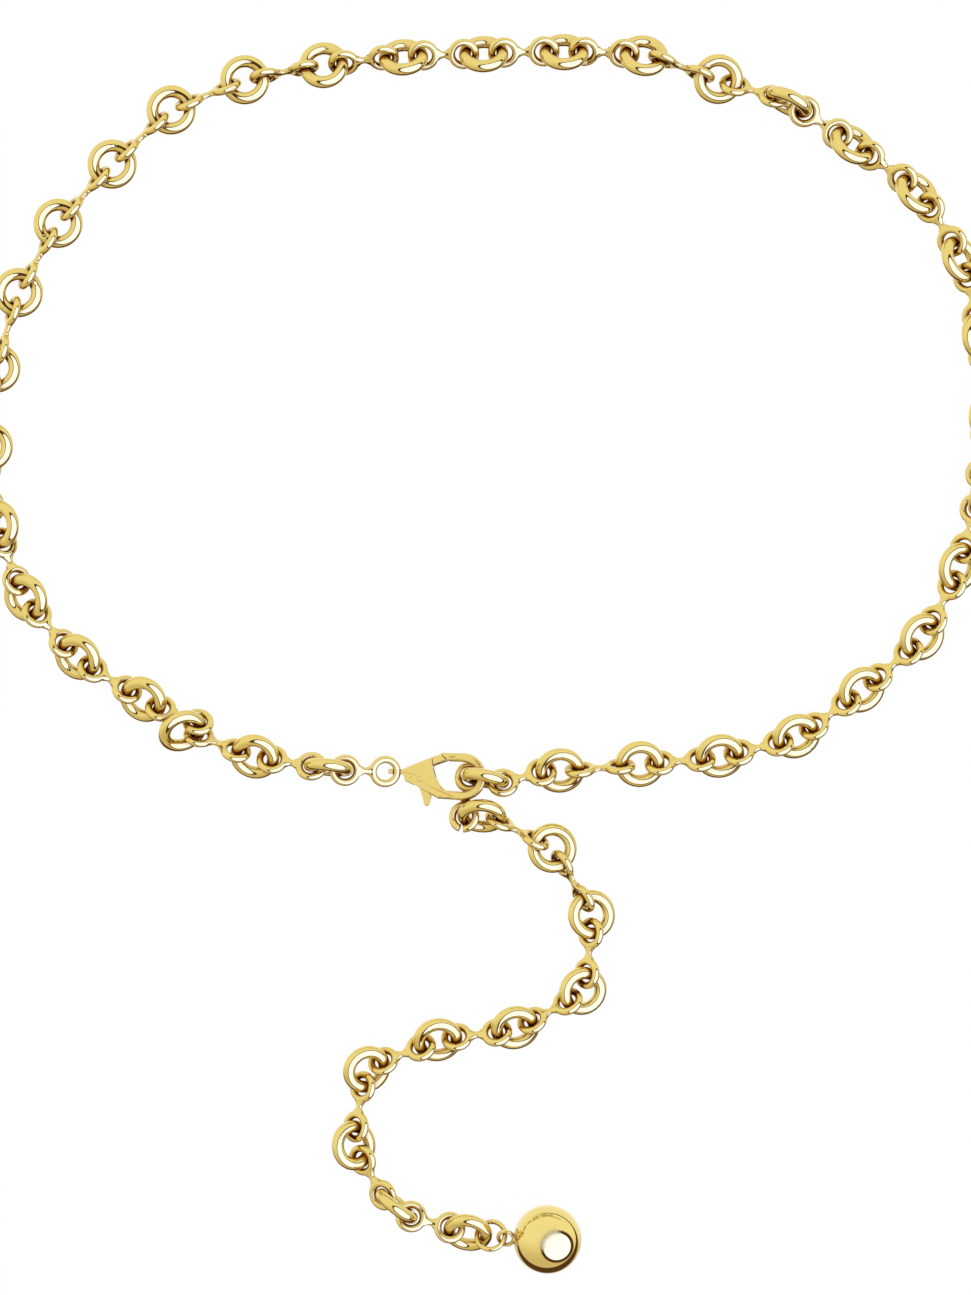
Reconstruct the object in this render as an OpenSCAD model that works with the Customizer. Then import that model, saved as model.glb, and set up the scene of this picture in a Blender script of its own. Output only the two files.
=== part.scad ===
// Gold waist chain: big round rings joined by soldered figure-eight connectors, closed by a
// lobster clasp, with a free tail that ends in a polished ball. It lies flat on a surface.
// +Z is up, +Y is away from the tail, and the origin is under the middle of the whole chain.

/* [Big rings] */
// Outer diameter of a big ring
ring_od = 13.9; // [12.5:0.1:16]
// Wire diameter of a big ring
ring_wire = 3.4; // [2.8:0.1:3.8]

/* [Figure-eight connectors] */
// Wire diameter of a connector loop
loop_wire = 2; // [1.5:0.1:2.2]
// How much wider a loop's hole is than the ring wire that runs through it
loop_play = 1.4; // [1.2:0.1:2]
// Gap between the two loops, bridged by the solder neck
neck_gap = 2.5; // [1.6:0.1:4]
// Thickness of the solder neck at its waist
neck_wire = 1.3; // [0.9:0.1:1.8]
// Opening of the loop that was left open where the tail starts
open_cut = 1.2; // [0.8:0.1:1.6]

/* [Lie of the chain] */
// How far each joint stays short of taut
joint_slack = 0.35; // [0.25:0.05:0.5]
// How far each joint of the tail stays short of taut
tail_slack = 0.6; // [0.3:0.05:0.7]
// How steeply the connectors hang down inside a ring, as a slope
hang_slope = 0.12; // [0:0.02:0.2]
// Least clear space between pieces that rest on each other
rest_gap = 0.12; // [0.1:0.01:0.2]

/* [Ball end] */
// Diameter of the ball
ball_d = 18.9; // [12:0.1:26]
// Outer diameter of the small loop soldered to the ball
ball_loop_od = 5.4; // [4.8:0.1:7]
// Wire diameter of the small loop soldered to the ball
ball_loop_wire = 1.1; // [0.8:0.1:1.3]
// Outer diameter of the thin jump ring between the tail and the ball
jump_od = 9.4; // [9:0.1:12]
// Wire diameter of the thin jump ring
jump_wire = 1.4; // [1:0.1:1.6]

/* [Lobster clasp] */
// Length from the middle of the eye to the middle of the nose wire
clasp_len = 24.3; // [22:0.1:28]
// Radius of the hook's round nose, to the middle of its wire
nose_r = 5.4; // [5:0.1:6.2]
// Wire diameter of the hook
hook_wire = 2.5; // [2:0.1:2.8]
// Thickness of the clasp's body round the lever
web_t = 3; // [2.6:0.1:3.6]
// Outer diameter of the eye at the clasp's end
eye_od = 5.3; // [5:0.1:6.5]
// Wire diameter of the eye
eye_wire = 1.4; // [1.1:0.1:1.6]
// Thickness of the lever
lever_t = 1; // [0.9:0.1:1.5]
// Diameter of the lever's pin
pin_d = 1.4; // [1:0.1:1.7]
// Clear space on each side of the lever
lever_gap = 0.1; // [0.06:0.01:0.15]
// Running clearance of the lever on its pin, on the radius
pin_gap = 0.04; // [0.02:0.01:0.08]
// Gap between the lever's end and the hook's tip
tip_gap = 0.15; // [0.1:0.01:0.25]

/* [Hidden] */
$fn = 48;
GOLD = [0.84, 0.70, 0.27];

// Sizes that follow from the ones above
ring_r = (ring_od - ring_wire) / 2;
ring_hole = ring_r - ring_wire / 2;
loop_r = (ring_wire + loop_play + loop_wire) / 2;
loop_span = 2 * loop_r + loop_wire + neck_gap;
taut = 2 * (ring_hole - loop_wire / 2 + loop_r) + loop_span;
pitch = taut - 2 * joint_slack;
tail_pitch = taut - 2 * tail_slack;
jump_r = (jump_od - jump_wire) / 2;
ball_loop_r = (ball_loop_od - ball_loop_wire) / 2;
eye_r = (eye_od - eye_wire) / 2;
lie_flat = loop_wire + 5 * rest_gap;

// Chosen points of the waist loop, clockwise from the first ring after the clasp
WAIST_ROUTE = [
    [-44.5, -33], [-65.5, -30], [-85.4, -22.8], [-96.5, -14], [-114.6, -2.4], [-129.5, 14.5], [-137.5, 35], [-140, 56.5],
    [-138, 78.5], [-132.1, 99], [-121, 119], [-90, 150.5], [-69.5, 159.5], [-48, 163.7], [-25, 166], [19.5, 167.5],
    [42, 167], [63.5, 160.5], [83, 154], [120, 128.5], [132.5, 110], [138, 88], [140, 66],
    [137.5, 46], [132.5, 23.5], [122, 3.5], [86.5, -24.5], [64.5, -30], [20, -34],
    [-0.5, -36.1], [-22, -34.6]];
// Chosen points of the tail, from its first ring to its last
TAIL_ROUTE = [
    [-1.5, -46.5], [18, -55.5], [29, -74], [26.5, -95.5], [8, -105.5], [-14, -109],
    [-33.5, -117], [-37, -139.5], [-25, -155], [-5.5, -162.5]];

// How the rings and connectors lean: a tilt is positive where the side to the right of travel is up
// Columns: first ring of the stretch, tilt of its rings, tilt of the connectors after them
WAIST_LEAN = [
    [0, 80, -30], [1, 30, -49.5], [2, 45.5, -39], [3, 32, -36], [6, 28, -60],
    [7, 5, 68], [8, 3, 68], [13, 3, -80], [14, 18, -52], [15, 41, -30],
    [17, 41, -36], [18, 32, -82], [19, -14, 43], [20, -80, -16], [21, 43, -32],
    [24, 44, -27], [25, 44, -18], [26, 80, -30], [27, 35, -36], [28, 31, -38], [31, 31, -44],
    [32, 23, -70], [33, 28, -30], [34, 78, 0]];
TAIL_LEAN = [
    [0, -53, 71], [1, 10, -65], [2, 20, -44], [3, 22, -46], [4, 30, -38], [5, 30, -40],
    [6, 28, -40], [7, 35.5, -33], [8, 90, 18], [9, -42, 0]];
WAIST_RINGS = 35;
TAIL_RINGS = 10;
// Rings that follow their neighbour more closely than the pitch: ring, by how much
WAIST_CLOSER = [
    [0, 1.5], [1, 1.1], [3, 0.6], [4, 0.3], [5, 0.4], [6, 0.4], [7, 0.4], [8, 0.4],
    [18, 0.6], [19, 1.6], [20, 1.1], [25, 1.7], [26, 0.5], [33, 1.3]];
TAIL_CLOSER = [[0, 0.2], [7, 0.9], [8, 0.6]];
// Rings that are turned away from the way the chain runs: ring, by how much to the left
WAIST_TURNED = [[2, 59], [34, -18]];
// The ring that has flopped back over its connector
FOLDED = 2;
FOLDED_LIFT = 0.9;
FOLDED_REACH = loop_span + 3;

// Vectors
function unit(v) = v / norm(v);
function flat(v) = [v[0], v[1], 0];
function heading(a) = [cos(a), sin(a), 0];
function turned(v, a) = [v[0] * cos(a) - v[1] * sin(a), v[0] * sin(a) + v[1] * cos(a), v[2]];
function right_of(t) = unit([t[1], -t[0], 0]);

// A smooth curve through chosen points, as a fine run of points
STEPS = 12;
function blend_at(a, b, c, d, k) = 0.5 * ((2 * b) + (c - a) * k
    + (2 * a - 5 * b + 4 * c - d) * k * k + (3 * b - a - 3 * c + d) * k * k * k);
function pick(pts, i, closed) = closed
    ? pts[(i + len(pts)) % len(pts)]
    : i < 0 ? 2 * pts[0] - pts[1]
    : i >= len(pts) ? 2 * pts[len(pts) - 1] - pts[len(pts) - 2]
    : pts[i];
function smooth(pts, closed) = [
    for (i = [0 : len(pts) - (closed ? 1 : 2)], k = [0 : STEPS - 1])
        blend_at(pick(pts, i - 1, closed), pick(pts, i, closed), pick(pts, i + 1, closed),
                 pick(pts, i + 2, closed), k / STEPS),
    closed ? pts[0] : pts[len(pts) - 1]];
function lengths(run) = [
    for (i = 0, s = 0; i < len(run);
         s = s + (i < len(run) - 1 ? norm(run[i + 1] - run[i]) : 0), i = i + 1) s];
function before(marks, s) = max([for (i = [0 : len(marks) - 2]) if (marks[i] <= s) i]);
function along(run, marks, s) = let (
    i = before(marks, max(s, 0)),
    k = (s - marks[i]) / (marks[i + 1] - marks[i]))
    run[i] + (run[i + 1] - run[i]) * k;

// Lookups in the tables
function row_for(rows, i) = rows[max([for (k = [0 : len(rows) - 1]) if (rows[k][0] <= i) k])];
function extra(rows, i) = let (hit = [for (r = rows) if (r[0] == i) r[1]])
    len(hit) > 0 ? hit[0] : 0;

// A piece's frame is [middle, direction along it, direction across it in its own plane]
function frame_of(middle, t, lean) = let (
    a = unit(t), r = right_of(a), u = cross(r, a))
    [middle, a, r * cos(lean) + u * sin(lean)];
function shifted(f, by) = [f[0] + by, f[1], f[2]];
function side_of(f) = cross(f[1], f[2]);
// The point of a ring's wire that faces a direction, hanging down a little
function facing(f, dir, slope = hang_slope) = let (
    d = unit(dir) + [0, 0, -slope], n = side_of(f))
    f[0] + ring_r * unit(d - n * (d * n));
// Height of a ring's middle and of a connector's middle when they rest on the surface
function ring_level(lean) = ring_wire / 2 + max(ring_r * abs(sin(lean)), lie_flat);
function loop_level(lean) = loop_wire / 2 + loop_r * abs(sin(lean));

// Ring places along the waist loop, which is scaled to the length that its pieces need
function waist_gap(i) = i == FOLDED ? FOLDED_REACH : pitch - extra(WAIST_CLOSER, i);
function tail_gap(i) = tail_pitch - extra(TAIL_CLOSER, i);
waist_marks = [for (i = 0, s = 0; i < WAIST_RINGS; s = s + waist_gap(i), i = i + 1) s];
tail_marks = [for (i = 0, s = 0; i < TAIL_RINGS; s = s + tail_gap(i), i = i + 1) s];

// The clasp leans up from its eye, which rests on the surface, to its nose inside the last ring
NOSE_IN = 0.9;
NOSE_UP = 0.2;
EYE_SLIP = 0.75;
last_level = ring_level(row_for(WAIST_LEAN, WAIST_RINGS - 1)[1]);
nose_level = last_level + NOSE_UP * ring_hole;
clasp_rise = asin((nose_level - eye_od / 2) / clasp_len);
eye_to_ring = clasp_len * cos(clasp_rise) + NOSE_IN;
ring_to_eye = ring_r - EYE_SLIP + loop_span + loop_r;
waist_length = waist_marks[WAIST_RINGS - 1] + eye_to_ring + ring_to_eye;

waist_run0 = smooth(WAIST_ROUTE, true);
waist_marks0 = lengths(waist_run0);
waist_fit = waist_length / waist_marks0[len(waist_marks0) - 1];
waist_run = [for (p = waist_run0) p * waist_fit];
waist_lengths = [for (s = waist_marks0) s * waist_fit];
tail_run0 = smooth(TAIL_ROUTE, false);
tail_marks0 = lengths(tail_run0);
tail_fit = tail_marks[TAIL_RINGS - 1] / tail_marks0[len(tail_marks0) - 1];

waist_spots = [for (s = waist_marks) along(waist_run, waist_lengths, s)];
eye_spot = along(waist_run, waist_lengths, waist_length - ring_to_eye);

// Ring frames
function course(spots, i, before_first, after_last) = let (
    a = i > 0 ? spots[i - 1] : before_first,
    b = i < len(spots) - 1 ? spots[i + 1] : after_last)
    unit(unit(spots[i] - a) + unit(b - spots[i]));
function ring_frame(spots, lean, i, a, b, turn) = let (
    c = course(spots, i, a, b), tilt = row_for(lean, i)[1])
    frame_of([spots[i][0], spots[i][1], ring_level(tilt)], turned([c[0], c[1], 0], turn), tilt);
waist_frames = [for (i = [0 : WAIST_RINGS - 1]) shifted(
    ring_frame(waist_spots, WAIST_LEAN, i, eye_spot,
               i > 0 ? 2 * waist_spots[i] - waist_spots[i - 1] : [0, 0],
               extra(WAIST_TURNED, i)),
    [0, 0, i == FOLDED ? FOLDED_LIFT : 0])];

// A connector from one point on a ring's wire to a point on the next ring's wire, lifted off
// the surface where its lower loop would reach into it
function lowest(f) = f[0][2] - abs(f[1][2]) * loop_span / 2
    - loop_r * norm([f[1][2], f[2][2]]) - loop_wire / 2;
function link_frame(p, q, lean) = let (f = frame_of((p + q) / 2, q - p, lean))
    shifted(f, [0, 0, max(0, rest_gap / 2 - lowest(f))]);

// Where a connector leaves ring i and where it reaches ring i + 1
function leaving(frames, i, turn = 0) =
    facing(frames[i], turned(frames[i + 1][0] - frames[i][0], turn));
function arriving(frames, i, turn = 0) =
    facing(frames[i + 1], turned(frames[i][0] - frames[i + 1][0], turn));
// The folded ring holds both of its connectors on the side that it came from
// Columns: connector, by how much its hold is turned round the ring
WAIST_LEAVING = [[FOLDED, 256.5]];
WAIST_ARRIVING = [[FOLDED - 1, -9.5], [FOLDED, 13.5], [WAIST_RINGS - 2, 25]];
waist_links = [for (i = [0 : WAIST_RINGS - 2]) link_frame(
    leaving(waist_frames, i, extra(WAIST_LEAVING, i)),
    arriving(waist_frames, i, extra(WAIST_ARRIVING, i)),
    row_for(WAIST_LEAN, i)[2])];

// The connector between the first ring and the clasp's eye
eye_spot_3d = [eye_spot[0], eye_spot[1], eye_od / 2];
first_wire = facing(waist_frames[0], eye_spot_3d - waist_frames[0][0], 2 * hang_slope);
CLASP_LINK_LEAN = -4;
clasp_link_dir = unit(eye_spot_3d - first_wire);
clasp_link = frame_of(eye_spot_3d - clasp_link_dir * (loop_r + loop_span / 2), clasp_link_dir,
                      CLASP_LINK_LEAN);

// The open connector hangs on the low side of the last waist ring and holds the tail's first ring
OPEN_LEAN = -19;
OPEN_DROP = 36.5;
OPEN_COURSE = -98;
OPEN_RISE = 6.4;
OPEN_PULL = 0.24;
last_ring = waist_frames[WAIST_RINGS - 1];
open_top = last_ring[0] + ring_r * (last_ring[1] * cos(OPEN_DROP) - last_ring[2] * sin(OPEN_DROP));
open_dir = unit(heading(OPEN_COURSE) + [0, 0, tan(OPEN_RISE)]);
open_link = frame_of(open_top + open_dir * loop_span / 2, open_dir, OPEN_LEAN);
open_low = open_link[0] + open_dir * (loop_span / 2 + OPEN_PULL);

// The tail starts where the open connector holds its first ring
TAIL_FIRST_COURSE = -4;
TAIL_FIRST_HOLD = 203;
tail_first_lean = row_for(TAIL_LEAN, 0)[1];
tail_first = frame_of([0, 0, ring_level(tail_first_lean)], heading(TAIL_FIRST_COURSE),
                      tail_first_lean);
tail_start = open_low - facing(tail_first, heading(TAIL_FIRST_HOLD), 0);
tail_move = [tail_start[0], tail_start[1]] - TAIL_ROUTE[0] * tail_fit;
tail_run = [for (p = tail_run0) p * tail_fit + tail_move];
tail_lengths = [for (s = tail_marks0) s * tail_fit];
tail_spots = [for (s = tail_marks) along(tail_run, tail_lengths, s)];
tail_frames = [for (i = [0 : TAIL_RINGS - 1]) i == 0
    ? shifted(tail_first, flat(tail_start))
    : ring_frame(tail_spots, TAIL_LEAN, i, tail_start, tail_spots[i] + [10, -0.5], 0)];
tail_links = [for (i = [0 : TAIL_RINGS - 2])
    link_frame(leaving(tail_frames, i), arriving(tail_frames, i), row_for(TAIL_LEAN, i)[2])];

// The jump ring rises from the last tail ring to the ball's small loop
BALL_COURSE = 0;
JUMP_COURSE = -8;
JUMP_RISE = 14;
JUMP_LEAN = 24;
JUMP_PULL = 0.85;
BALL_LOOP_LEAN = -23;
BALL_LOOP_PULL = 0.42;
SOLDER_BITE = 0.35;
last_tail = tail_frames[TAIL_RINGS - 1];
jump_hold = facing(last_tail, heading(BALL_COURSE), 0);
jump_dir = heading(BALL_COURSE + JUMP_COURSE) * cos(JUMP_RISE) + [0, 0, sin(JUMP_RISE)];
jump_in = JUMP_PULL * (jump_r - jump_wire / 2 - ring_wire / 2);
jump_frame = frame_of(jump_hold + jump_dir * jump_in, jump_dir, JUMP_LEAN);
ball_hold = jump_frame[0] + jump_dir * jump_r;
ball_loop_in = BALL_LOOP_PULL * (ball_loop_r - ball_loop_wire / 2 - jump_wire / 2);
ball_arm = ball_d / 2 + ball_loop_od / 2 - SOLDER_BITE;
ball_drop = asin((ball_d / 2 - ball_hold[2]) / (ball_arm + ball_loop_in));
ball_dir = heading(BALL_COURSE) * cos(ball_drop) + [0, 0, sin(ball_drop)];
ball_loop_frame = frame_of(ball_hold + ball_dir * ball_loop_in, ball_dir, BALL_LOOP_LEAN);

// Clasp frame: from the eye towards the nose, leaning up
nose_dir = unit([last_ring[0][0], last_ring[0][1], 0] - [eye_spot[0], eye_spot[1], 0]);
clasp_dir = nose_dir * cos(clasp_rise) + [0, 0, sin(clasp_rise)];
clasp_frame = frame_of(eye_spot_3d, clasp_dir, 180);

// The origin is the middle of the whole piece's outer box, on the surface it lies on
BOX_MIDDLE = [-0.74, -1.2];

module at_frame(f) {
    n = side_of(f);
    multmatrix([
        [f[1][0], f[2][0], n[0], f[0][0] - BOX_MIDDLE[0]],
        [f[1][1], f[2][1], n[1], f[0][1] - BOX_MIDDLE[1]],
        [f[1][2], f[2][2], n[2], f[0][2]],
        [0, 0, 0, 1]]) children();
}

module round_loop(r, wire, turn = 360) {
    rotate_extrude(angle = turn) translate([r, 0]) circle(d = wire);
}

module big_ring() {
    round_loop(ring_r, ring_wire);
}

// Half of the solder neck, flared into the loop's wire
module neck_half() {
    rotate([0, 90, 0]) cylinder(h = loop_span / 2 - loop_r, d1 = neck_wire, d2 = loop_wire);
}

module connector() {
    for (side = [0, 180]) rotate([0, 0, side]) {
        translate([loop_span / 2, 0, 0]) round_loop(loop_r, loop_wire);
        neck_half();
    }
}

// A connector whose far loop was left open at its end
module cut_connector() {
    cut = 2 * asin(open_cut / (2 * loop_r)) + 2 * asin(0);
    rotate([0, 0, 180]) translate([loop_span / 2, 0, 0]) round_loop(loop_r, loop_wire);
    for (side = [0, 180]) rotate([0, 0, side]) neck_half();
    translate([loop_span / 2, 0, 0]) rotate([0, 0, cut / 2])
        round_loop(loop_r, loop_wire, 360 - cut);
}

module waist_rings() {
    color(GOLD) for (f = waist_frames) at_frame(f) big_ring();
}

module waist_connectors() {
    color(GOLD) {
        for (f = waist_links) at_frame(f) connector();
        at_frame(clasp_link) connector();
    }
}

module tail_rings() {
    color(GOLD) for (f = tail_frames) at_frame(f) big_ring();
}

module tail_connectors() {
    color(GOLD) for (f = tail_links) at_frame(f) connector();
}

module open_connector() {
    color(GOLD) at_frame(open_link) cut_connector();
}

module jump_ring() {
    color(GOLD) at_frame(jump_frame) round_loop(jump_r, jump_wire);
}

module ball() {
    color(GOLD) at_frame(ball_loop_frame) {
        round_loop(ball_loop_r, ball_loop_wire);
        translate([ball_arm, 0, 0]) sphere(d = ball_d);
        translate([ball_loop_r, 0, 0]) rotate([0, 90, 0])
            cylinder(h = ball_loop_wire + SOLDER_BITE, d1 = ball_loop_wire, d2 = 2 * ball_loop_wire);
    }
}

// The clasp lies in its own plane: x runs from the eye to the nose, y towards the gate.
// Its outlines are shares of its length and of its half height, which follow the sizes above
clasp_h = nose_r + hook_wire / 2;
// Outline of the flat body, from the eye along the top, down the hook's opening and back
WEB = [
    [0.072, 0.14], [0.185, 0.352], [0.275, 0.505], [0.402, 0.73], [0.428, 0.253],
    [0.463, -0.098], [0.515, -0.423], [0.575, -0.6], [0.65, -0.7], [0.525, -0.825],
    [0.1235, -0.26], [0.085, -0.15]];
GATE_SIDE = 3;
// Middle line of the hook's lower arm from the nose back to the eye, and its share of the wire
ARM = [[0.52, -0.8, 1.05], [0.136, -0.243, 0.83]];
TIP_AT = 0.558;
NOSE_BEND = 4;
// The joint between the lever's end and the hook's tip is cut at this slant, which lets the lever in
TIP_SLANT = 38;
PIN_AT = [0.281, -0.227];
GATE_ROOT = [0.4, 0.525];
// Outline of the thumb tab, from the lever's middle outwards
TAB = [
    [0.33, -0.24], [0.427, -0.89], [0.42, -1.04], [0.41, -1.22], [0.343, -1.22], [0.33, -1.04],
    [0.305, -0.8], [0.24, -0.3]];
TAB_END = 3;
LEVER_SWING = 28;
// How much further the slot opens beside the tab than beside the gate
TAB_ROOM = 6;

// How far a bar starts inside the piece before it
BAR_BITE = 0.3;

function on_clasp(p) = [p[0] * clasp_len, p[1] * clasp_h];
nose_mid = [clasp_len - nose_r, 0];
pin_at = on_clasp(PIN_AT);
gate_root = on_clasp(GATE_ROOT);
arm_d = hook_wire - 0.08;
tip_start = nose_mid + nose_r * [-sin(NOSE_BEND), cos(NOSE_BEND)];
tip_end = tip_start - (tip_start[0] - TIP_AT * clasp_len) * [1, tan(NOSE_BEND)];
// The lower arm leaves the nose where it points straight at its first bend
arm_in = on_clasp(ARM[0]) - nose_mid;
low_bend = asin(nose_r / norm(arm_in)) - atan2(-arm_in[1], -arm_in[0]);
arm_start = nose_mid - nose_r * [sin(low_bend), cos(low_bend)];
gate_way = unit(tip_end - gate_root);
boss_r = pin_d / 2 + 0.8;
slot_side = boss_r + lever_gap;
slot_t = lever_t + 2 * lever_gap;
pin_skin = 0.65;
gate_angle = atan2(gate_root[1] - pin_at[1], gate_root[0] - pin_at[0]);
tab_mid = on_clasp((TAB[TAB_END] + TAB[TAB_END + 1]) / 2);
tab_angle = atan2(tab_mid[1] - pin_at[1], tab_mid[0] - pin_at[0]);

// A straight round bar between two points of the clasp's plane, with a ball at its end if asked
module bar(p, q, dp, dq, ball_end = true) {
    d = q - p;
    translate([p[0], p[1], 0]) rotate([0, 0, atan2(d[1], d[0])]) rotate([0, 90, 0])
        translate([0, 0, -BAR_BITE]) cylinder(h = norm(d) + BAR_BITE, d1 = dp, d2 = dq);
    if (ball_end) translate([q[0], q[1], 0]) sphere(d = 1.06 * dq);
}

// The flat space that one arm of the lever sweeps, from its rest direction to its open one
module swept(rest, reach, room = 0) {
    shut = rest + room;
    open = rest - LEVER_SWING;
    a = pin_at + 0.94 * slot_side * [cos(shut + 90), sin(shut + 90)];
    b = pin_at + 0.94 * slot_side * [cos(open - 90), sin(open - 90)];
    polygon([a, a + reach * [cos(shut), sin(shut)], b + reach * [cos(open), sin(open)], b]);
}

// Everything on one side of the slanted joint, half the tip gap away from it: 1 is the lever's side
module joint_side(side) {
    translate(tip_end) rotate(-TIP_SLANT)
        translate([-clasp_h, side > 0 ? -2 * clasp_h - tip_gap / 2 : tip_gap / 2])
            square([2 * clasp_h, 2 * clasp_h]);
}

// Everything on the open side of the body's edge, clear of it by the tip gap
module past_edge() {
    p = on_clasp(WEB[GATE_SIDE]);
    q = on_clasp(WEB[GATE_SIDE + 1]);
    translate(p) rotate(atan2(q[1] - p[1], q[0] - p[0]))
        translate([-clasp_h, tip_gap]) square([3 * clasp_h, clasp_len]);
}

module clasp_body() {
    color(GOLD) at_frame(clasp_frame) difference() {
        union() {
            linear_extrude(web_t, center = true) polygon([for (p = WEB) on_clasp(p)]);
            translate([nose_mid[0], 0, 0]) rotate([0, 0, -90 - low_bend])
                round_loop(nose_r, hook_wire, 180 + low_bend + NOSE_BEND);
            intersection() {
                bar(tip_start, tip_end - [hook_wire, 0], arm_d, arm_d, false);
                linear_extrude(2 * web_t, center = true) joint_side(-1);
            }
            bar(arm_start, on_clasp(ARM[0]), arm_d, arm_d * ARM[0][2]);
            bar(on_clasp(ARM[0]), on_clasp(ARM[1]), arm_d * ARM[0][2], arm_d * ARM[1][2]);
            rotate([90, 0, 0]) round_loop(eye_r, eye_wire);
        }
        linear_extrude(slot_t, center = true) {
            translate(pin_at) circle(r = slot_side);
            swept(gate_angle, clasp_len / 3);
            swept(tab_angle, clasp_len / 3, TAB_ROOM);
        }
        translate([pin_at[0], pin_at[1], 0])
            cylinder(h = web_t - 2 * pin_skin + 0.02, d = pin_d + 0.04, center = true);
    }
}

module clasp_lever() {
    color(GOLD) at_frame(clasp_frame) difference() {
        union() {
            linear_extrude(lever_t, center = true) {
                translate(pin_at) circle(r = boss_r);
                polygon([for (p = TAB) on_clasp(p)]);
                translate(tab_mid) circle(r = 0.035 * clasp_len);
                hull() {
                    translate(pin_at) circle(r = boss_r * 0.6);
                    translate(gate_root) circle(r = boss_r * 0.6);
                    translate(gate_root + 0.3 * (tip_end - gate_root)) circle(r = boss_r * 0.5);
                }
            }
            intersection() {
                bar(gate_root, tip_end + hook_wire * gate_way, hook_wire + 0.2, hook_wire - 0.1, false);
                linear_extrude(2 * web_t, center = true) intersection() {
                    past_edge();
                    joint_side(1);
                }
            }
        }
        translate([pin_at[0], pin_at[1], 0])
            cylinder(h = web_t, d = pin_d + 2 * pin_gap, center = true);
    }
}

module clasp_pin() {
    color(GOLD) at_frame(clasp_frame) translate([pin_at[0], pin_at[1], 0])
        cylinder(h = web_t - 2 * pin_skin, d = pin_d, center = true);
}

waist_rings();
waist_connectors();
tail_rings();
tail_connectors();
open_connector();
jump_ring();
ball();
clasp_body();
clasp_lever();
clasp_pin();
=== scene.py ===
"""Looks of a waist chain that lies on a white table: gold plated rings, soldered two-loop
connectors, a lobster clasp and a free tail with a polished ball."""

import math
import random

import bpy
import numpy as np
from mathutils import Matrix, Vector


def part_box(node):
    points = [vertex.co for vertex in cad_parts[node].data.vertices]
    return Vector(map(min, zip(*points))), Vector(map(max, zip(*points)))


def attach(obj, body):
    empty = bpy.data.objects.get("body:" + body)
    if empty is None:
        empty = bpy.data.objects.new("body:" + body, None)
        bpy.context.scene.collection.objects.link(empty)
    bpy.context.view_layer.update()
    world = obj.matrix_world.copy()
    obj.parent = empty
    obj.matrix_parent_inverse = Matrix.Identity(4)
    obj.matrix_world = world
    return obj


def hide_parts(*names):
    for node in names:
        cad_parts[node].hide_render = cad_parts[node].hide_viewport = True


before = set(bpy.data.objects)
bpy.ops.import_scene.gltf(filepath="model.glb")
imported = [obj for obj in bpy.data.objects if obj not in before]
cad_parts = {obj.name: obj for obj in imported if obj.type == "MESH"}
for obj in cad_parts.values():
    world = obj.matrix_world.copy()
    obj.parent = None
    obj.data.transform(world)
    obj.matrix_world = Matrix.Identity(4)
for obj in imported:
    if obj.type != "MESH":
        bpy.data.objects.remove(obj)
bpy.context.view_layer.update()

# ---- Big rings of the waist loop ----
# Thirty-five plain rings of thick round brass wire, soldered shut, tumbled, polished and gold plated.
# Each hangs loose in the loops of the two connectors beside it, and lies or leans on the table.
# Tumbling leaves the wire faintly wavy, so the reflections in it waver.
MM = 0.001
# The ring's own size is taken at the middle of its wire
RING_R = 5.25 * MM
RING_WIRE_R = 1.74 * MM
# How far the tumbled wire waves in and out, and over what length
RING_WAVE = 0.03 * MM
RING_WAVE_LONG = 6 * MM
# The soldered seam is this share of the wire's width and height
SEAM_PINCH = (0.985, 0.985, 0.97)
# The open surface of the plating, and the darker, warmer colour painted on as shade down in the
# corners
GOLD = (0.80, 0.63, 0.20)
GOLD_PAINTED_SHADE = (0.42, 0.235, 0.065)
# How far from a corner the painted shade starts, and between which shares of open view it fades
PAINTED_SHADE_REACH = 4 * MM
PAINTED_SHADE_FADE = (0.35, 0.9)
# The cloudier patches and the grain that polishing leaves: how many to a metre, and how deep
PATCHES = 160
GRAINS = 900
GRAIN_DEEP = 0.02 * MM
# Roughness from the clearest to the cloudiest patch, and how much of the grain shows
LINK_BLUR = (0.02, 0.06)
LINK_BUMP = 0.04


def only(obj):
    """Selects one object alone and makes it the active one."""
    bpy.ops.object.select_all(action="DESELECT")
    obj.select_set(True)
    bpy.context.view_layer.objects.active = obj


def finish_modifiers(obj):
    """Applies all the modifiers of an object, first to last."""
    only(obj)
    for modifier in list(obj.modifiers):
        bpy.ops.object.modifier_apply(modifier=modifier.name)


def pick(obj, kind, rule):
    """In edit mode, selects the faces or vertices whose place passes the rule."""
    bpy.ops.mesh.select_mode(type=kind)
    bpy.ops.mesh.select_all(action="DESELECT")
    bpy.ops.object.mode_set(mode="OBJECT")
    if kind == "FACE":
        for face in obj.data.polygons:
            face.select = bool(rule(face.center))
    else:
        for point in obj.data.vertices:
            point.select = bool(rule(point.co))
    bpy.ops.object.mode_set(mode="EDIT")


def torus(ring_r, wire_r, round_steps, wire_steps):
    """A ring of round wire about the origin, flat in X and Y."""
    bpy.ops.object.select_all(action="DESELECT")
    bpy.ops.mesh.primitive_torus_add(
        major_radius=ring_r,
        minor_radius=wire_r,
        major_segments=round_steps,
        minor_segments=wire_steps,
    )
    return bpy.context.object


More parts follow.
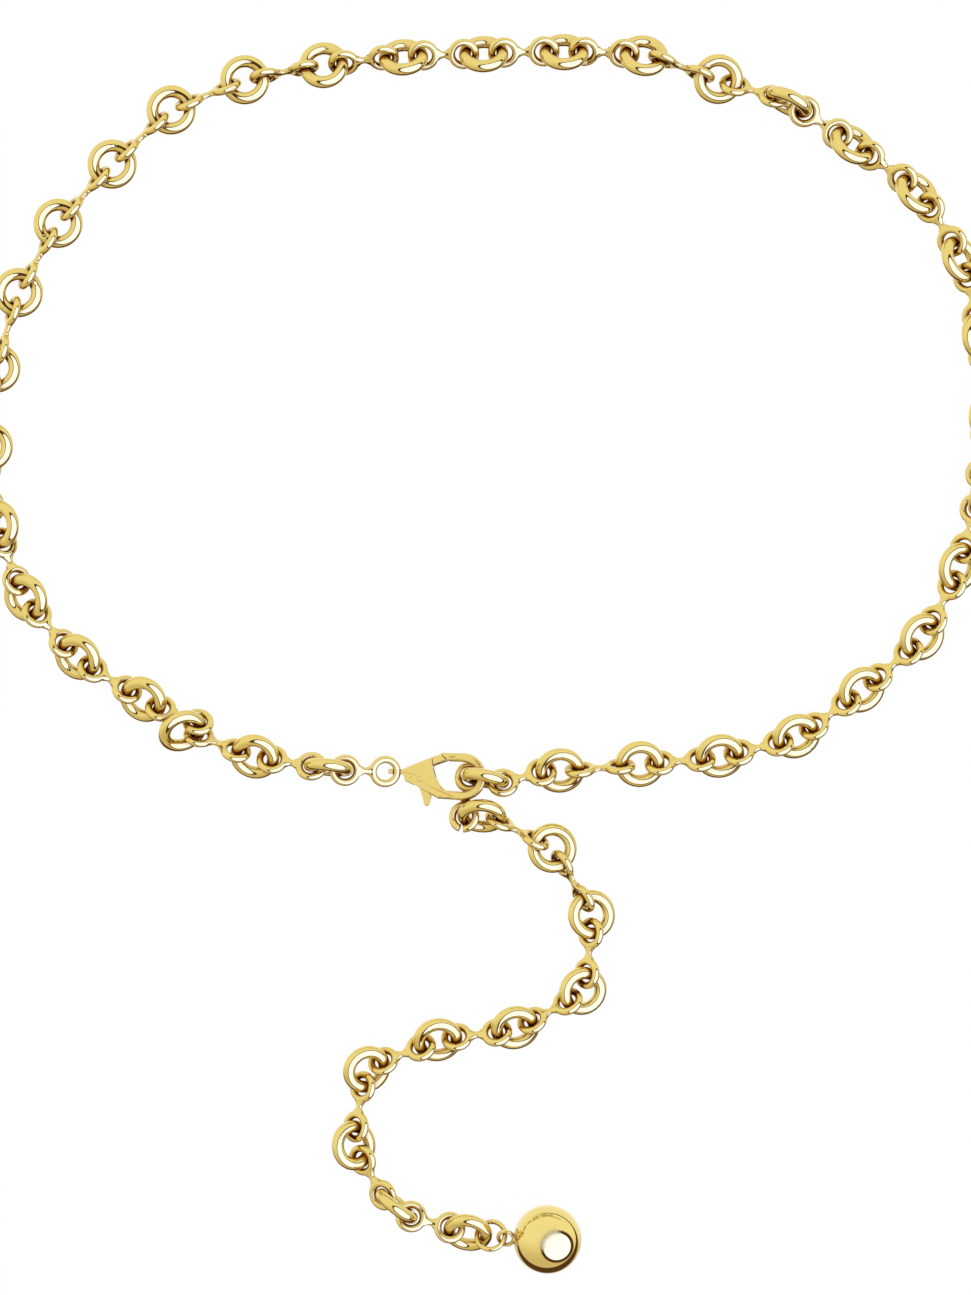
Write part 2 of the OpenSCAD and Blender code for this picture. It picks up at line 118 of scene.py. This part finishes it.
def loose_parts(node):
    """The points of each separate solid in a CAD node: points that share a face take the lowest
    label among them, over and over until no label changes."""
    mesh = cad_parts[node].data
    points = np.array([v.co for v in mesh.vertices])
    points, same = np.unique(np.round(points, 6), axis=0, return_inverse=True)
    faces = same.reshape(-1)[np.array([p.vertices[:] for p in mesh.polygons])]
    label = np.arange(len(points))
    while True:
        new = label.copy()
        low = label[faces].min(axis=1)
        for corner in range(3):
            np.minimum.at(new, faces[:, corner], low)
        new = new[new]
        if (new == label).all():
            return [points[label == k] for k in np.unique(label)]
        label = new


def pose_of(points):
    """The matrix that puts a piece made about the origin where a CAD solid lies: its longest
    way along X and its shortest along Z."""
    turn = np.linalg.eigh(np.cov(points.T))[1][:, ::-1]
    if np.linalg.det(turn) < 0:
        turn[:, 2] = -turn[:, 2]
    inside = points @ turn
    middle = turn @ ((inside.min(0) + inside.max(0)) / 2)
    pose = Matrix(turn.tolist()).to_4x4()
    pose.translation = Vector(middle)
    return pose


def copies(base, poses, name):
    """One object of that name with a copy of the base at each pose. The base is used up."""
    made = []
    for pose in poses:
        one = base.copy()
        one.data = base.data.copy()
        one.data.transform(pose)
        bpy.context.collection.objects.link(one)
        made.append(one)
    bpy.data.objects.remove(base)
    bpy.ops.object.select_all(action="DESELECT")
    for one in made:
        one.select_set(True)
    bpy.context.view_layer.objects.active = made[0]
    if len(made) > 1:
        bpy.ops.object.join()
    made[0].name = name
    made[0].data.name = name
    return made[0]


def set_range(node, start, end, low, high):
    """A Map Range node's two ranges: start and end become low and high."""
    for socket, value in zip(("From Min", "From Max", "To Min", "To Max"), (start, end, low, high)):
        node.inputs[socket].default_value = value


def polished_gold(name, colour, deep, blur, bump, haze=None):
    """Gold plate: mirror polished, a little cloudier in patches, with painted shade that makes it
    darker and warmer in the corners. A haze is a spot, how far round it the blur is full, how far
    it reaches and the roughness in it."""
    material = bpy.data.materials.new(name)
    material.use_nodes = True
    nodes, links = material.node_tree.nodes, material.node_tree.links
    shader = nodes["Principled BSDF"]
    shader.inputs["Metallic"].default_value = 1.0
    place = nodes.new("ShaderNodeTexCoord")

    patches = nodes.new("ShaderNodeTexNoise")
    patches.inputs["Scale"].default_value = PATCHES
    patches.inputs["Detail"].default_value = 3
    links.new(place.outputs["Object"], patches.inputs["Vector"])
    rough = nodes.new("ShaderNodeMapRange")
    set_range(rough, 0.35, 0.7, *blur)
    links.new(patches.outputs["Fac"], rough.inputs["Value"])
    polish = rough.outputs["Result"]
    if haze:
        spot, near, far, most = haze
        off = nodes.new("ShaderNodeVectorMath")
        off.operation = "DISTANCE"
        off.inputs[1].default_value = spot
        links.new(place.outputs["Object"], off.inputs[0])
        around = nodes.new("ShaderNodeMapRange")
        around.interpolation_type = "SMOOTHSTEP"
        set_range(around, near, far, most, 0)
        links.new(off.outputs["Value"], around.inputs["Value"])
        more = nodes.new("ShaderNodeMath")
        more.operation = "MAXIMUM"
        links.new(polish, more.inputs[0])
        links.new(around.outputs["Result"], more.inputs[1])
        polish = more.outputs[0]
    links.new(polish, shader.inputs["Roughness"])

    # Painted shade: where ambient occlusion finds little open view, the colour turns to the darker,
    # warmer deep colour
    corner = nodes.new("ShaderNodeAmbientOcclusion")
    corner.samples = 8
    corner.inputs["Distance"].default_value = PAINTED_SHADE_REACH
    reach = nodes.new("ShaderNodeMapRange")
    set_range(reach, *PAINTED_SHADE_FADE, 0, 1)
    links.new(corner.outputs["AO"], reach.inputs["Value"])
    painted_shade = nodes.new("ShaderNodeMix")
    painted_shade.data_type = "RGBA"
    painted_shade.inputs["A"].default_value = (*deep, 1)
    painted_shade.inputs["B"].default_value = (*colour, 1)
    links.new(reach.outputs["Result"], painted_shade.inputs["Factor"])
    links.new(painted_shade.outputs["Result"], shader.inputs["Base Color"])

    grain = nodes.new("ShaderNodeTexNoise")
    grain.inputs["Scale"].default_value = GRAINS
    grain.inputs["Detail"].default_value = 2
    links.new(place.outputs["Object"], grain.inputs["Vector"])
    relief = nodes.new("ShaderNodeBump")
    relief.inputs["Strength"].default_value = bump
    relief.inputs["Distance"].default_value = GRAIN_DEEP
    links.new(grain.outputs["Fac"], relief.inputs["Height"])
    links.new(relief.outputs["Normal"], shader.inputs["Normal"])
    return material


def wavy(obj, deep, long):
    """Moves a surface in and out a little, as tumbling does."""
    texture = bpy.data.textures.new(obj.name + "_wave", "CLOUDS")
    texture.noise_scale = long
    texture.noise_depth = 1
    wave = obj.modifiers.new("wave", "DISPLACE")
    wave.texture = texture
    wave.strength = deep
    wave.mid_level = 0.5
    finish_modifiers(obj)


link_gold = polished_gold("link_gold", GOLD, GOLD_PAINTED_SHADE, LINK_BLUR, LINK_BUMP)


def big_ring():
    """One ring about the origin, with the faint pinch where the ends of its wire were soldered."""
    ring = torus(RING_R, RING_WIRE_R, 84, 28)
    bpy.ops.object.mode_set(mode="EDIT")
    pick(ring, "VERT", lambda c: c.x > 0 and abs(math.atan2(c.y, c.x)) < 0.01)
    bpy.ops.transform.resize(value=SEAM_PINCH, center_override=(RING_R, 0, 0))
    bpy.ops.object.mode_set(mode="OBJECT")
    wavy(ring, RING_WAVE, RING_WAVE_LONG)
    bpy.ops.object.shade_smooth()
    ring.data.materials.append(link_gold)
    return ring


# One seeded chance for all the small differences between the links
chance = random.Random(5)


def turned(poses):
    """The same poses, each ring turned about its own middle so that no two look alike."""
    return [p @ Matrix.Rotation(chance.uniform(0, 2 * math.pi), 4, "Z") for p in poses]


waist_rings = copies(
    big_ring(), turned([pose_of(p) for p in loose_parts("waist_rings")]), "waist_ring_wire"
)
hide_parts("waist_rings")
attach(waist_rings, "chain")

# ---- Rings of the free tail ----
# Ten more of the same rings, from the one in the open connector to the one with the jump ring.
tail_rings = copies(
    big_ring(), turned([pose_of(p) for p in loose_parts("tail_rings")]), "tail_ring_wire"
)
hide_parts("tail_rings")
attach(tail_rings, "chain")

# ---- Connectors ----
# Each is two small rings of thinner brass wire, set end to end, soldered and gold plated. The solder
# runs up both rings in smooth hollow fillets and leaves a thin neck between them.
LOOP_R = 3.4 * MM
LOOP_WIRE_R = 1.05 * MM
# From the middle of one ring to the middle of the other
LOOP_SPAN = 11.3 * MM
LOOP_WAVE = 0.03 * MM
LOOP_WAVE_LONG = 5 * MM
NECK_WIDE = 0.92 * MM
NECK_HIGH = 0.9 * MM
# The part of the ring that the solder grows from: half its angle in degrees and half its height
SOLDER_ANGLE = 24
SOLDER_HIGH = 0.75 * MM
# Stations of the solder from the ring to the middle of the neck: place, half width, half height
NECK_STATIONS = [
    (1.19 * MM, 1.52 * MM, 0.95 * MM),
    (0.86 * MM, 1.24 * MM, 0.94 * MM),
    (0.45 * MM, 1.02 * MM, 0.92 * MM),
    (0.0, NECK_WIDE, NECK_HIGH),
]
NECK_ROUNDNESS = 0.85
# The two halves of the neck are one where their points are closer than this
NECK_JOIN = 0.02 * MM
# Where the fillets lie: from and to along the connector, and half their width
FILLET_FROM = 0.3 * MM
FILLET_TO = 1.85 * MM
FILLET_WIDE = 1.7 * MM


def connector():
    """One connector about the origin with its rings along X. One ring and half of the neck are
    made, and then mirrored."""
    link = torus(LOOP_R, LOOP_WIRE_R, 48, 20)
    link.data.transform(Matrix.Translation((-LOOP_SPAN / 2, 0, 0)))
    # The solder grows out of the faces next to the other ring
    bpy.ops.object.mode_set(mode="EDIT")
    reach = LOOP_R * math.sin(math.radians(SOLDER_ANGLE))
    pick(
        link,
        "FACE",
        lambda c: c.x > -LOOP_SPAN / 2 + LOOP_R and abs(c.y) < reach and abs(c.z) < SOLDER_HIGH,
    )
    for place, wide, high in NECK_STATIONS:
        # A new end is laid flat at its place, rounded, laid flat again and brought to its size
        bpy.ops.mesh.extrude_region_move()
        bpy.ops.transform.resize(value=(0, 1, 1), center_override=(-place, 0, 0))
        bpy.ops.transform.tosphere(value=NECK_ROUNDNESS)
        bpy.ops.transform.resize(value=(0, 1, 1), center_override=(-place, 0, 0))
        bpy.ops.object.mode_set(mode="OBJECT")
        cap = [v.co.copy() for v in link.data.vertices if v.select]
        bpy.ops.object.mode_set(mode="EDIT")
        size = (1, wide / max(abs(c.y) for c in cap), high / max(abs(c.z) for c in cap))
        bpy.ops.transform.resize(value=size, center_override=(-place, 0, 0))
    bpy.ops.mesh.delete(type="ONLY_FACE")
    # The loose inner points of the open end go too
    bpy.ops.mesh.select_all(action="DESELECT")
    bpy.ops.mesh.select_mode(type="VERT")
    bpy.ops.mesh.select_loose()
    bpy.ops.mesh.delete(type="VERT")
    bpy.ops.object.mode_set(mode="OBJECT")
    other = link.modifiers.new("other_half", "MIRROR")
    other.merge_threshold = NECK_JOIN
    finish_modifiers(link)
    # Smoothing turns the stations into the hollow fillets
    bpy.ops.object.mode_set(mode="EDIT")
    pick(link, "VERT", lambda c: FILLET_FROM < abs(c.x) < FILLET_TO and abs(c.y) < FILLET_WIDE)
    bpy.ops.mesh.vertices_smooth(factor=0.5, repeat=1)
    bpy.ops.mesh.select_all(action="SELECT")
    bpy.ops.mesh.normals_make_consistent(inside=False)
    bpy.ops.object.mode_set(mode="OBJECT")
    wavy(link, LOOP_WAVE, LOOP_WAVE_LONG)
    bpy.ops.object.shade_smooth()
    link.data.materials.append(link_gold)
    return link


def turned_over(poses):
    """The same poses, some end for end or face for face."""
    return [
        p @ Matrix.Rotation(chance.choice((0, math.pi)), 4, chance.choice("XYZ")) for p in poses
    ]


waist_connectors = copies(
    connector(),
    turned_over([pose_of(p) for p in loose_parts("waist_connectors")]),
    "waist_connector_loops",
)
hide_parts("waist_connectors")
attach(waist_connectors, "chain")

tail_connectors = copies(
    connector(),
    turned_over([pose_of(p) for p in loose_parts("tail_connectors")]),
    "tail_connector_loops",
)
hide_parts("tail_connectors")
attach(tail_connectors, "chain")

# ---- Open connector ----
# The connector that hangs the tail in the waist loop. It is made like the others, but its lower
# ring was cut with nippers and left a little open, with two blunt ends.
CUT_FROM = -0.13  # radians round that ring from the connector's far end
CUT_TO = 0.2


def cut_open(wire, rule):
    """Takes the faces that pass the rule out of a ring and closes its two blunt ends."""
    only(wire)
    bpy.ops.object.mode_set(mode="EDIT")
    pick(wire, "FACE", rule)
    bpy.ops.mesh.delete(type="FACE")
    bpy.ops.mesh.select_mode(type="EDGE")
    bpy.ops.mesh.select_all(action="DESELECT")
    bpy.ops.mesh.select_non_manifold(extend=False)
    bpy.ops.mesh.edge_face_add()
    bpy.ops.object.mode_set(mode="OBJECT")


open_link = connector()
far = LOOP_SPAN / 2
cut_open(open_link, lambda c: c.x > far and CUT_FROM < math.atan2(c.y, c.x - far) < CUT_TO)
open_pose = pose_of(loose_parts("open_connector")[0])
# The cut ring is the one that lies nearer to the tail
if open_pose.col[0].y > 0:
    open_pose = open_pose @ Matrix.Rotation(math.pi, 4, "Z")
open_link = copies(open_link, [open_pose], "open_connector_loops")
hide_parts("open_connector")
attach(open_link, "chain")

# ---- Jump ring ----
# A thin ring of drawn wire, bent shut with pliers between the tail's last ring and the ball.
# Its ends meet in a fine cut.
JUMP_R = 4.0 * MM
JUMP_WIRE_R = 0.7 * MM
JUMP_CUT = 0.2 * MM
JUMP_TURN = -70  # degrees round the ring to its cut
jump = torus(JUMP_R, JUMP_WIRE_R, 120, 20)
cut_open(jump, lambda c: c.x > 0 and 0 < c.y < JUMP_CUT)
bpy.ops.object.shade_smooth()
jump.data.materials.append(link_gold)
jump = copies(
    jump,
    [pose_of(loose_parts("jump_ring")[0]) @ Matrix.Rotation(math.radians(JUMP_TURN), 4, "Z")],
    "jump_ring_wire",
)
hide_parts("jump_ring")
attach(jump, "chain")

# ---- Ball ----
# A hollow ball of thin brass sheet, gold plated and polished to a mirror, with a small ring soldered
# to it. The solder makes a low collar where the ring meets the ball.
BALL_R = 9.45 * MM
BALL_RING_R = 2.15 * MM
BALL_RING_WIRE_R = 0.55 * MM
BALL_RING_WAVE = 0.02 * MM
BALL_RING_WAVE_LONG = 2 * MM
# From the middle of the small ring to the middle of the ball
BALL_ARM = 11.8 * MM
# How far the collar stands off the ball, how much it narrows and how deep its foot is in the ball
COLLAR_HIGH = 0.25 * MM
COLLAR_TAPER = 0.8
COLLAR_FOOT = 0.08 * MM
BALL_COLOUR = (0.84, 0.68, 0.225)
BALL_BLUR = (0.02, 0.03)
BALL_BUMP = 0.002
# The crown is a little hazy from handling: the way to the haze from the ball's middle, how far round
# it the haze is full, how far it reaches and its roughness
HAZE_WAY = Vector((-0.05, 0.25, 0.96))
HAZE_NEAR = 2.8 * MM
HAZE_FAR = 5.5 * MM
HAZE_ROUGH = 0.28
# The way from the small ring to the ball as it lies, and the way across the small ring
BALL_ALONG = Vector((0.980557, 0, 0.196235)).normalized()
BALL_ACROSS = Vector((0.0766752, -0.920505, -0.383134)).normalized()

low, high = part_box("ball")
ball_middle = Vector((high.x - BALL_R, (low.y + high.y) / 2, (low.z + high.z) / 2))
ball_gold = polished_gold(
    "ball_gold",
    BALL_COLOUR,
    GOLD_PAINTED_SHADE,
    BALL_BLUR,
    BALL_BUMP,
    haze=(ball_middle + HAZE_WAY * BALL_R, HAZE_NEAR, HAZE_FAR, HAZE_ROUGH),
)

bpy.ops.object.select_all(action="DESELECT")
bpy.ops.mesh.primitive_uv_sphere_add(segments=96, ring_count=64, radius=BALL_R)
ball = bpy.context.object
ball.data.transform(Matrix.Translation((BALL_ARM, 0, 0)) @ Matrix.Rotation(-math.pi / 2, 4, "Y"))
# The collar is drawn out of the ball's nearest faces towards the small ring
bpy.ops.object.mode_set(mode="EDIT")
near = BALL_ARM - BALL_R
pick(ball, "FACE", lambda c: c.x < near + COLLAR_FOOT)
bpy.ops.mesh.extrude_region_move(TRANSFORM_OT_translate={"value": (-COLLAR_HIGH, 0, 0)})
bpy.ops.transform.resize(value=(1, COLLAR_TAPER, COLLAR_TAPER), center_override=(near, 0, 0))
bpy.ops.object.mode_set(mode="OBJECT")
small_ring = torus(BALL_RING_R, BALL_RING_WIRE_R, 64, 20)
wavy(small_ring, BALL_RING_WAVE, BALL_RING_WAVE_LONG)
ball.select_set(True)
bpy.context.view_layer.objects.active = ball
bpy.ops.object.join()
bpy.ops.object.shade_smooth()
ball.data.materials.append(ball_gold)
ball_pose = Matrix((BALL_ALONG, BALL_ACROSS, BALL_ALONG.cross(BALL_ACROSS))).transposed().to_4x4()
ball_pose.translation = ball_middle - BALL_ALONG * BALL_ARM
ball = copies(ball, [ball_pose], "polished_ball")
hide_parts("ball")
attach(ball, "chain")

# ---- Clasp ----
# A lobster clasp, cast in brass in one piece with its eye: a flat web that runs out into a hook. Its
# upper side is filed and grooved, then tumbled, which rounds every edge, and gold plated. Cast metal
# takes a little less polish than drawn wire.
CLASP_BLUR = (0.03, 0.08)
CLASP_BUMP = 0.05
clasp_gold = polished_gold("clasp_gold", GOLD, GOLD_PAINTED_SHADE, CLASP_BLUR, CLASP_BUMP)

# The clasp's own frame: the middle of its eye, the way to the nose and the way to the gate
CLASP_EYE = Vector((-24.574, -33.1505, 2.65)) * MM
CLASP_ALONG = Vector((0.977121, -0.0682056, 0.201452))
CLASP_ACROSS = Vector((0.0696332, 0.997573, 0))
clasp_frame = Matrix((CLASP_ALONG, CLASP_ACROSS, CLASP_ALONG.cross(CLASP_ACROSS)))
clasp_frame = clasp_frame.transposed().to_4x4()
clasp_frame.translation = CLASP_EYE
# Flats filed on the upper side, in millimetres in the clasp's frame: the two ends of the ridge that
# each starts from, its width, its slope in degrees and how far up the file's body reaches. The two
# long ones overlap a little at their ridge, so that no skin is left between them.
FLATS = [
    ((12.6, -8.0, 1.0), (12.6, 8.0, 1.0), 15.0, 1, 3.0),
    ((12.4, 8.0, 1.003), (12.4, -8.0, 1.003), 14.0, 0, 3.1),
    ((9.9, -3.3, 0.90), (5.0, -0.2, 0.82), 6.0, 3, 3.0),
    ((5.6, -0.4, 0.84), (0.8, 0.3, 0.76), 6.0, 3, 3.0),
]
# Fine grooves on the same side, in the same terms: three that mark the ridge from the hook's arm to
# the eye, and a short one beside the hook's tip
GROOVES = [
    ((17.1, -5.75, 1.0), (9.9, -3.3, 0.98), 0.36, 45, 2.0),
    ((9.9, -3.3, 0.98), (5.4, -0.4, 0.90), 0.22, 45, 2.0),
    ((5.4, -0.4, 0.90), (1.8, 0.15, 0.82), 0.30, 45, 2.0),
    ((16.7, 5.5, 1.0), (14.9, 5.4, 1.0), 0.32, 45, 2.0),
]
# Corners of the CAD mesh that are closer than this are one
SAME_POINT = 0.002 * MM
# How fine the casting's surface is rebuilt, and how many rounds of smoothing the tumbling takes
CLASP_GRID = 0.10 * MM
CLASP_ROUNDS = 3


def filed(piece, start, end, wide, slope, tall):
    """Takes a flat off the piece, to the left of the line from start to end and falling away."""
    start, end = Vector(start) * MM, Vector(end) * MM
    way = (end - start).normalized()
    left = Vector((0, 0, 1)).cross(way).normalized()
    up = way.cross(left)
    down = Matrix.Rotation(math.radians(-slope), 3, way)
    left, up = down @ left, down @ up
    bpy.ops.object.select_all(action="DESELECT")
    bpy.ops.mesh.primitive_cube_add(size=1)
    block = bpy.context.object
    size = Vector(((end - start).length, wide * MM, tall * MM))
    turn = Matrix((way, left, up)).transposed().to_4x4()
    turn.translation = start
    block.data.transform(
        clasp_frame @ turn @ Matrix.Diagonal((*size, 1)) @ Matrix.Translation((0.5, 0.5, 0.5))
    )
    cut = piece.modifiers.new("flat", "BOOLEAN")
    cut.operation = "DIFFERENCE"
    cut.object = block
    cut.solver = "EXACT"
    finish_modifiers(piece)
    bpy.data.objects.remove(block)


def cast_copy(node, name, grid, rounds, flats):
    """A copy of a CAD node with filed flats and the soft edges of a small casting."""
    piece = bpy.data.objects.new(name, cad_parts[node].data.copy())
    bpy.context.collection.objects.link(piece)
    only(piece)
    piece.data.materials.clear()
    bpy.ops.object.mode_set(mode="EDIT")
    bpy.ops.mesh.select_all(action="SELECT")
    bpy.ops.mesh.remove_doubles(threshold=SAME_POINT)
    bpy.ops.object.mode_set(mode="OBJECT")
    for flat in flats:
        filed(piece, *flat)
    melt = piece.modifiers.new("melt", "REMESH")
    melt.mode = "VOXEL"
    melt.voxel_size = grid
    melt.use_smooth_shade = True
    even = piece.modifiers.new("even", "SMOOTH")
    even.factor = 0.5
    even.iterations = rounds
    finish_modifiers(piece)
    bpy.ops.object.shade_smooth()
    piece.data.materials.append(clasp_gold)
    return piece


clasp = cast_copy("clasp_body", "clasp_casting", CLASP_GRID, CLASP_ROUNDS, FLATS + GROOVES)
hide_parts("clasp_body")
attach(clasp, "chain")

# ---- Clasp's lever and rivet ----
# The gate that closes the hook, with the tab that the thumb pulls: a smaller brass casting in the
# slot of the clasp's web. It turns on a plain brass rivet that is pressed through the web.
LEVER_FLATS = [((8.0, 8.0, 1.0), (8.0, -8.0, 1.0), 8.0, 0, 3.0)]
LEVER_GRID = 0.08 * MM
LEVER_ROUNDS = 5
lever = cast_copy("clasp_lever", "clasp_lever_casting", LEVER_GRID, LEVER_ROUNDS, LEVER_FLATS)
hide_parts("clasp_lever")
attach(lever, "lever")

# The castings hide the rivet, so the CAD's own solid stays and is plated like the rest
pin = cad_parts["clasp_pin"]
pin.data.materials.clear()
pin.data.materials.append(clasp_gold)

# ---- Table ----
# A plain white light table that carries the chain. It glows evenly from below, so the chain throws
# almost no shadow on it. It isn't part of the object.
TABLE_WIDE = 6
TABLE_COLOUR = (0.04, 0.04, 0.039)
GLOW_COLOUR = (1.0, 1.0, 0.985)
GLOW = 0.96
bpy.ops.object.select_all(action="DESELECT")
bpy.ops.mesh.primitive_plane_add(size=TABLE_WIDE)
table = bpy.context.object
table.name = "table"
white = bpy.data.materials.new("white_table")
white.use_nodes = True
glass = white.node_tree.nodes["Principled BSDF"]
glass.inputs["Base Color"].default_value = (*TABLE_COLOUR, 1)
glass.inputs["Roughness"].default_value = 1.0
glass.inputs["Specular IOR Level"].default_value = 0.0
glass.inputs["Emission Color"].default_value = (*GLOW_COLOUR, 1)
glass.inputs["Emission Strength"].default_value = GLOW
table.data.materials.append(white)
# The metal mirrors the lower half of the light tent and not the table
table.visible_glossy = False

# ---- Studio ----
# A light tent: pale cloth all round, a large round softbox in a dark frame above and to the right,
# and a dark gap low down where the cloth stops. Everything is placed where a mirror ball seen from
# straight above shows it: its middle is (0, 0) and its rim is at 1.
SOFTBOX_AT = (0.27, -0.15)
SOFTBOX_R = 0.40
FRAME_WIDE = 0.07
EDGE_SOFT = 0.02
# The softbox is a cold light, so gold, which takes the blue out of it, mirrors it nearly white
SOFTBOX_COLOUR = (1.38, 1.68, 4.1)
# The cloth is white, and warmer and dimmer on the side towards the bottom of the picture
TENT_COLOUR = (1.05, 1.05, 1.03)
TENT_LOW_COLOUR = (0.74, 0.66, 0.56)
TENT_LOW_FROM = 0.1
TENT_LOW_TO = -0.6
# The gap and the frame are one dark brown. The gap lies between two ovals: middle, half width,
# half height
GAP_COLOUR = (0.10, 0.05, 0.028)
GAP_OUTER = ((0.0, -0.07), 0.885, 0.89)
GAP_INNER = ((-0.02, 0.012), 0.85, 0.792)
GAP_SOFT = 0.015
# What the camera sees past the edge of the table
BACKDROP_COLOUR = (0.9, 0.9, 0.89)

world = bpy.data.worlds.new("light_tent")
bpy.context.scene.world = world
world.use_nodes = True
nodes, links = world.node_tree.nodes, world.node_tree.links
nodes.clear()


def step(kind, *values):
    """A maths node; each value is a constant or a link."""
    node = nodes.new("ShaderNodeMath")
    node.operation = kind
    for k, v in enumerate(values):
        if isinstance(v, (int, float)):
            node.inputs[k].default_value = v
        else:
            links.new(v, node.inputs[k])
    return node.outputs[0]


# A mirror ball's normal is half way between the way up and the way that is seen in it
where = nodes.new("ShaderNodeTexCoord")
lift = nodes.new("ShaderNodeVectorMath")
lift.operation = "ADD"
lift.inputs[1].default_value = (0, 0, 1)
links.new(where.outputs["Generated"], lift.inputs[0])
half = nodes.new("ShaderNodeVectorMath")
half.operation = "NORMALIZE"
links.new(lift.outputs[0], half.inputs[0])
split = nodes.new("ShaderNodeSeparateXYZ")
links.new(half.outputs[0], split.inputs[0])


def distance_from(point, wide=1, high=1):
    """How far off a point of the mirror ball is, in half widths and half heights of an oval."""
    dx = step("DIVIDE", step("SUBTRACT", split.outputs["X"], point[0]), wide)
    dy = step("DIVIDE", step("SUBTRACT", split.outputs["Y"], point[1]), high)
    return step("SQRT", step("ADD", step("MULTIPLY", dx, dx), step("MULTIPLY", dy, dy)))


def inside(value, start, end):
    """1 where the value is under start, 0 over end."""
    ramp = nodes.new("ShaderNodeMapRange")
    ramp.interpolation_type = "SMOOTHSTEP"
    links.new(value, ramp.inputs["Value"])
    set_range(ramp, start, end, 1, 0)
    return ramp.outputs["Result"]


def layer(below, above, share):
    """One colour laid over another; each is a constant or a link."""
    mix = nodes.new("ShaderNodeMix")
    mix.data_type = "RGBA"
    for socket, v in (("A", below), ("B", above)):
        if isinstance(v, tuple):
            mix.inputs[socket].default_value = (*v, 1)
        else:
            links.new(v, mix.inputs[socket])
    links.new(share, mix.inputs["Factor"])
    return mix.outputs["Result"]


off_box = distance_from(SOFTBOX_AT)
in_gap = step(
    "MULTIPLY",
    inside(distance_from(*GAP_OUTER), 1 - GAP_SOFT, 1 + GAP_SOFT),
    step("SUBTRACT", 1, inside(distance_from(*GAP_INNER), 1 - GAP_SOFT, 1 + GAP_SOFT)),
)
framed = inside(off_box, SOFTBOX_R + FRAME_WIDE, SOFTBOX_R + FRAME_WIDE + EDGE_SOFT)
low_side = inside(split.outputs["Y"], TENT_LOW_TO, TENT_LOW_FROM)
colour = layer(TENT_COLOUR, TENT_LOW_COLOUR, low_side)
colour = layer(colour, GAP_COLOUR, step("MAXIMUM", in_gap, framed))
colour = layer(colour, SOFTBOX_COLOUR, inside(off_box, SOFTBOX_R - EDGE_SOFT / 2, SOFTBOX_R))
tent = nodes.new("ShaderNodeBackground")
links.new(colour, tent.inputs["Color"])
backdrop = nodes.new("ShaderNodeBackground")
backdrop.inputs["Color"].default_value = (*BACKDROP_COLOUR, 1)
seen = nodes.new("ShaderNodeLightPath")
either = nodes.new("ShaderNodeMixShader")
links.new(seen.outputs["Is Camera Ray"], either.inputs[0])
links.new(tent.outputs[0], either.inputs[1])
links.new(backdrop.outputs[0], either.inputs[2])
out = nodes.new("ShaderNodeOutputWorld")
links.new(either.outputs[0], out.inputs["Surface"])
bpy.context.scene.view_settings.view_transform = "Standard"

# ---- Camera ----
# It hangs over the table and looks straight down, as the photograph was taken. One pixel of its
# 971 x 1295 picture is 0.28 mm on the chain, so the loop runs out of the picture at both sides.
PIXEL = 0.28 * MM
PICTURE_HIGH = 1295 * PIXEL
# The point that it looks at, at about half the height of the chain's wires
AIM = Vector((0.24, 1.76, 6.0)) * MM
LENS = 100
SENSOR = 36
lens = bpy.data.cameras.new("camera")
lens.lens = LENS
lens.sensor_width = SENSOR
lens.clip_start = 0.01
lens.clip_end = 20
camera = bpy.data.objects.new("camera", lens)
bpy.context.collection.objects.link(camera)
camera.location = (AIM.x, AIM.y, AIM.z + PICTURE_HIGH * LENS / SENSOR)
bpy.context.scene.camera = camera
